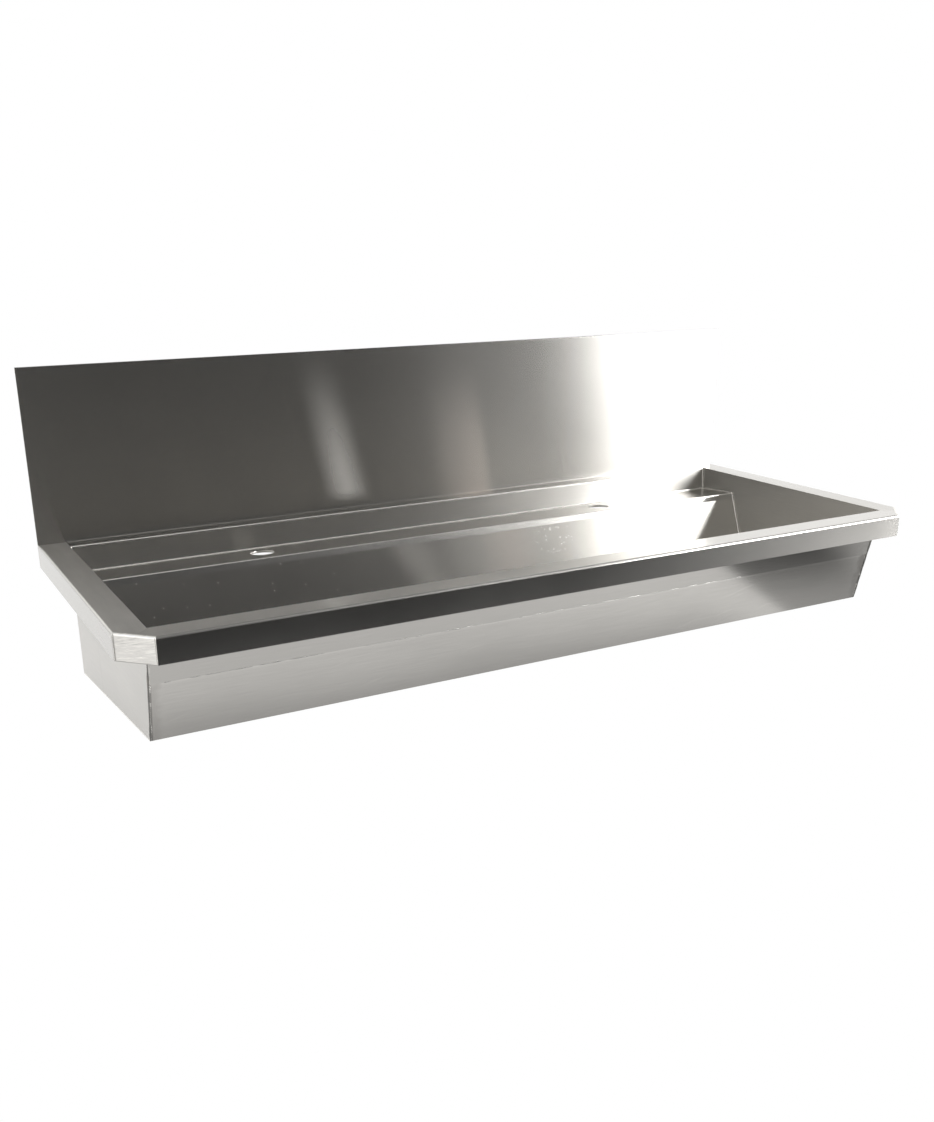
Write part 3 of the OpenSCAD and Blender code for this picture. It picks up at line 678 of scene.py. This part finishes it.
# Hexagon: the radius is the smaller of the cone's and half the width over the cosine of the angle from the
# flat's middle. The bore, which is narrower, stays round.
def hexagon(radius, height, angle):
    flats = 0.5 * hardware["nutFlats"] / np.cos(angle % (math.pi / 3) - math.pi / 6)
    cone = radius + 0 * angle
    return np.where(radius > hardware["flatsBeyond"], np.minimum(flats, cone), cone)


# Nut: a hexagon whose cone's radius is the face's plus slope * distance from the nearer face. It is bored
# unless it is a bolt head.
def nutGrid(place, height=None, solid=False):
    height = height or hardware["nutHeight"]
    rows = np.array(hardware["nutRows"] + [0.5 * height])
    rows = np.concatenate([rows, height - rows[-2::-1]])
    cone = hardware["nutFace"] + hardware["nutSlope"] * np.minimum(rows, height - rows)
    profile = list(zip(cone, rows))
    if not solid:
        profile += [(hardware["boreRadius"], height), (hardware["boreRadius"], 0)]
    return turned(profile, place, hexagon, not solid, hardware["nutAround"])


# Stud: a rolled thread all along, whose radius is less by the chamfer at both ends.
def studGrid(place, length):
    pitch, chamfer = hardware["threadPitch"], hardware["studChamfer"]
    rows = np.linspace(chamfer, length - chamfer, int(length / pitch * hardware["threadRows"]))
    rows = np.concatenate([[0], rows, [length]])
    profile = [(hardware["studRadius"] - (chamfer if h in (0, length) else 0), h) for h in rows]
    ridges = thread(pitch, hardware["threadDepth"], 0, length)
    return turned(profile, place, ridges, False, hardware["studAround"])


def standIn(name, node, grids, material, smooth=True):
    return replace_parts(gridPiece(name, grids, material, smooth), node)


def buildLedgeHardware():
    lean = hardware["ledgeAngle"]
    up = np.array([0, math.sin(lean), math.cos(lean)])
    rear = np.array([0, math.cos(lean), -math.sin(lean)])
    out, high = hardware["ledgeMiddle"]
    holds = []
    for sideways in (-1, 1):
        for back in (-1, 1):
            middle = np.array([sideways * hardware["bracketPitch"] / 2, -out, high])
            holds.append(middle + rear * back * hardware["studPitch"] / 2 - up * hardware["sheet"])
    length = hardware["studLength"]
    studs = [studGrid((hold - up * length, up, rear), length) for hold in holds]
    standIn("threaded_ledge_studs", "ledge_studs", studs, fastenerSteel)
    nuts = [nutGrid((hold - up * hardware["nutBase"], up, rear)) for hold in holds]
    standIn("hex_ledge_nuts", "ledge_nuts", nuts, fastenerSteel, False)


def buildBuffers():
    away, across = (0, -1, 0), (1, 0, 0)
    y, z = hardware["bufferAt"]
    places = [sideways * hardware["bufferPitch"] / 2 for sideways in (-1, 1)]
    radius = hardware["bufferRadius"]
    profile = [(radius + less, y + height) for less, height in rubberFoot["face"]]
    profile += [(radius + less, height) for less, height in rubberFoot["side"]]
    feet = [turned(profile, ((x, y, z), away, across)) for x in places]
    standIn("rubber_feet", "wall_buffers", feet, blackRubber)
    bite, length = hardware["bufferBite"], hardware["bufferBite"] + hardware["bufferStud"]
    studs = [studGrid(((x, y + bite, z), away, across), length) for x in places]
    standIn("threaded_buffer_studs", "buffer_studs", studs, fastenerSteel)
    nuts = [nutGrid(((x, y - hardware["sheet"], z), away, across)) for x in places]
    standIn("hex_buffer_nuts", "buffer_nuts", nuts, fastenerSteel, False)


def buildEarth():
    upright = ((0, 0, 1), (1, 0, 0))
    x, y = hardware["earthAt"]
    headBase, headHeight = hardware["earthHead"]
    head = nutGrid(((x, y, headBase), *upright), headHeight, True)
    length = headBase - hardware["earthEnd"] + hardware["earthOverlap"]
    shank = studGrid(((x, y, hardware["earthEnd"]), *upright), length)
    standIn("hex_earth_bolt", "earth_bolt", [head, shank], brass, False)
    nut = nutGrid(((x, y, hardware["earthNut"]), *upright))
    standIn("hex_earth_nut", "earth_nut", [nut], brass, False)


waste = {      # radius and height pairs are in millimetres along the pipe's axis, the other sizes in metres
    "at": (0.0, -0.21963, -0.06502), "axis": (0, 0.1067, 0.9943), "across": (1, 0, 0), "around": 96,
    "flange": [(25, -7), (37.4, -7), (38, -7.6), (38, -10.4), (37.4, -11), (29.5, -11), (28.5, -12),
               (28.5, -22.2), (27.7, -23), (24.9, -23), (23.9, -24)],
    "pipe": 23.9, "pipeRows": 96, "tail": (-0.0497, -0.0262), "threadPitch": 0.00231, "threadDepth": 0.0013,
    "inside": [(23.2, -50), (20.9, -50), (20.9, -20), (25, -18)],
    "spider": (-0.018, -0.014), "spiderAround": 240, "boss": 0.0065, "arms": 3, "armHalf": 0.0025,
    "armEnd": 0.02675, "leastSine": 1e-3, "pipeWithin": 1e-6,
}


def tailThread(radius, height, angle):      # the thread is cut only where the radius is the pipe's
    ridges = thread(waste["threadPitch"], waste["threadDepth"], *waste["tail"])
    onPipe = np.abs(radius - waste["pipe"] / 1000) < waste["pipeWithin"]
    return np.where(onPipe, ridges(radius, height, angle), radius + 0 * angle)


# Spider: from the middle, the larger of the boss and the arm, whose edge is half its width over the sine of
# the angle from the arm's middle, and at most the arm's end.
def spiderShape(radius, height, angle):
    step = 2 * math.pi / waste["arms"]
    sine = np.maximum(np.abs(np.sin((angle + step / 2) % step - step / 2)), waste["leastSine"])
    return np.maximum(waste["boss"], np.minimum(waste["armEnd"], waste["armHalf"] / sine)) + 0 * radius


def buildWaste():
    place = (waste["at"], waste["axis"], waste["across"])
    low, high = waste["tail"]
    pipe = [(waste["pipe"], row) for row in np.linspace(high * 1000, low * 1000, waste["pipeRows"])]
    profile = np.array(waste["flange"] + pipe + waste["inside"]) / 1000
    body = turned(profile, place, tailThread, True, waste["around"])
    ends = [(waste["armEnd"], height) for height in waste["spider"]]
    spider = turned(ends, place, spiderShape, False, waste["spiderAround"])
    standIn("threaded_waste_body", "waste_body", [body, spider], brass)


buildLedgeHardware()
buildBuffers()
buildEarth()
buildWaste()
print("hardware in place")


# Studio: a white room that is dark behind the camera, and a tall window of light at the front right. Turns
# and lifts are in degrees: 0 towards the front and 90 to the right, and up from level.
studio = {
    "roomGlow": 1.3, "horizon": (-14, -9),
    "frontTurn": (-75, -40), "frontEdge": (0.485, 0.455),
    "dimLow": 0.03, "dimHigh": 0.052, "dimTurn": (15, 5),
    "sideTurn": (75, 60), "sideEdge": (0.455, 0.485), "sideGlow": 0.22,
    "lowGlow": 0.035, "lowFrom": 34, "lowGrowth": 0.21, "lowMost": 1.3,
    "topRise": (32, 60), "topFront": (54, 74), "topGlow": 0.65,
    "windowLeft": (0.585, 0.62), "windowRight": (80, 75), "windowFoot": (-7, -3), "windowTop": (54, 49),
    "windowGlow": 10.0,
}
ground = {      # the floor's glow grows with the distance from below the trough, a painted shadow under it, and painted light brightens it to the right
    "z": -0.25, "x": (-3.0, 3.0), "y": (-1.15, 3.0), "half": 0.45, "middle": 0.235, "deep": 0.2,
    "shade": 0.42, "nearSpan": (0.12, 0.24), "near": 0.33, "farSpan": (0.25, 0.6), "far": 0.26,
    "rightSpan": (0, 0.5), "right": 0.10,
}
card = {      # a dark card of painted shade on the floor that the apron and the front wall reflect at the right
    "corners": [(0.733, -0.3), (0.578, -1.0), (2, -1.0), (2, -0.3)], "lift": 0.001, "tone": 0.085,
    "rearSpan": (-0.73, -0.57), "rear": 0.30, "rightSpan": (0.87, 1.02), "right": 0.35,
    "leftSpan": (0.87, 0.68), "left": 0.05,
}
white = (1, 1, 1, 1)


def buildWorld():
    world = bpy.data.worlds.new("studio")
    world.use_nodes = True
    world.node_tree.nodes.clear()
    start = Wire(world.node_tree)
    x, y, z = axes(start.add("TexCoord", out=0))
    turn = start.maths("ARCTAN2", x, 0 - y) * (180 / math.pi)
    lift = start.maths("ARCSINE", z) * (180 / math.pi)
    front = turn.rise(*studio["frontTurn"]) * x.rise(*studio["frontEdge"])
    side = x.rise(*studio["sideEdge"]) * turn.rise(*studio["sideTurn"])
    horizon = lift.rise(*studio["horizon"])
    dimStep = studio["dimHigh"] - studio["dimLow"]
    dim = studio["dimLow"] + horizon * dimStep * (1 + turn.rise(*studio["dimTurn"]))
    growth = start.maths("MAXIMUM", turn - studio["lowFrom"], 0.0) * studio["lowGrowth"]
    low = start.maths("MINIMUM", studio["lowGlow"] * start.maths("EXPONENT", growth), studio["lowMost"])
    glow = low + horizon * (studio["sideGlow"] - low)
    level = studio["roomGlow"] * (1 - front - side) + front * dim + side * glow
    overhead = lift.rise(*studio["topRise"]) * (1 - front) + lift.rise(*studio["topFront"]) * front
    level = level * (1 - overhead) + overhead * studio["topGlow"]
    window = x.rise(*studio["windowLeft"]) * turn.rise(*studio["windowRight"])
    window = window * lift.rise(*studio["windowFoot"]) * lift.rise(*studio["windowTop"])
    level = level + window * studio["windowGlow"]
    seen = start.add("LightPath", out=0)
    sky = start.add("Background", {}, {"Color": white, "Strength": level * (1 - seen) + seen})
    start.add("OutputWorld", {}, {"Surface": sky})
    bpy.context.scene.world = world


def flatPiece(name, corners, z, material):      # one level face through its corners
    mesh = bpy.data.meshes.new(name)
    mesh.from_pydata([(x, y, z) for x, y in corners], [], [tuple(range(len(corners)))])
    mesh.materials.append(material)
    piece = bpy.data.objects.new(name, mesh)
    bpy.context.scene.collection.objects.link(piece)
    return piece


def buildFloor():
    material, start = newMaterial("pale_floor")
    x, y, z = axes(start.add("NewGeometry", out=0))
    aside = start.maths("MAXIMUM", abs(x) - ground["half"], 0)
    ahead = start.maths("MAXIMUM", abs(y + ground["middle"]) - ground["deep"], 0)
    away = start.maths("SQRT", aside * aside + ahead * ahead)
    tone = ground["shade"] + away.rise(*ground["nearSpan"]) * ground["near"]
    tone = tone + away.rise(*ground["farSpan"]) * ground["far"]
    tone = tone + x.rise(*ground["rightSpan"]) * ground["right"]
    # painted shadow and light: the floor's glow as the other surfaces see it
    shadowedGlow = start.add("Emission", {}, {"Color": white, "Strength": tone})
    clean = start.add("Emission", {}, {"Color": white, "Strength": 1.0})
    seen = start.add("LightPath", out=0)
    closeMaterial(material, start, start.add("MixShader", {}, {0: seen, 1: shadowedGlow, 2: clean}))
    (x0, x1), (y0, y1) = ground["x"], ground["y"]
    flatPiece("floor", [(x0, y0), (x1, y0), (x1, y1), (x0, y1)], ground["z"], material)


def buildShadeCard():
    material, start = newMaterial("painted_shade_card")
    x, y, z = axes(start.add("NewGeometry", out=0))
    tone = card["tone"] + y.rise(*card["rearSpan"]) * card["rear"]
    tone = tone + x.rise(*card["rightSpan"]) * card["right"] + x.rise(*card["leftSpan"]) * card["left"]
    closeMaterial(material, start, start.add("Emission", {}, {"Color": white, "Strength": tone}))
    piece = flatPiece("painted_shade_card", card["corners"], ground["z"] + card["lift"], material)
    piece.visible_camera = False


buildWorld()
buildFloor()
buildShadeCard()
print("studio built")


# Camera solved from the straight edges of the reference view.
shot = {
    "place": (-0.83403, -1.61109, 0.49167), "look": (0.444325, 0.828507, -0.340809),
    "up": (0.168963, 0.296097, 0.940095), "sensor": 36.0, "lens": 36.417, "shift": (0.02488, 0.08133),
}


def buildCamera():
    data = bpy.data.cameras.new("camera")
    data.sensor_width = shot["sensor"]
    data.lens = shot["lens"]
    data.shift_x, data.shift_y = shot["shift"]
    camera = bpy.data.objects.new("camera", data)
    look = Vector(shot["look"]).normalized()
    right = look.cross(Vector(shot["up"])).normalized()
    facing = Matrix((right, right.cross(look), -look)).transposed().to_4x4()
    camera.matrix_world = Matrix.Translation(shot["place"]) @ facing
    bpy.context.scene.collection.objects.link(camera)
    bpy.context.scene.camera = camera
    bpy.context.scene.view_settings.view_transform = "Standard"


buildCamera()
print("camera set")
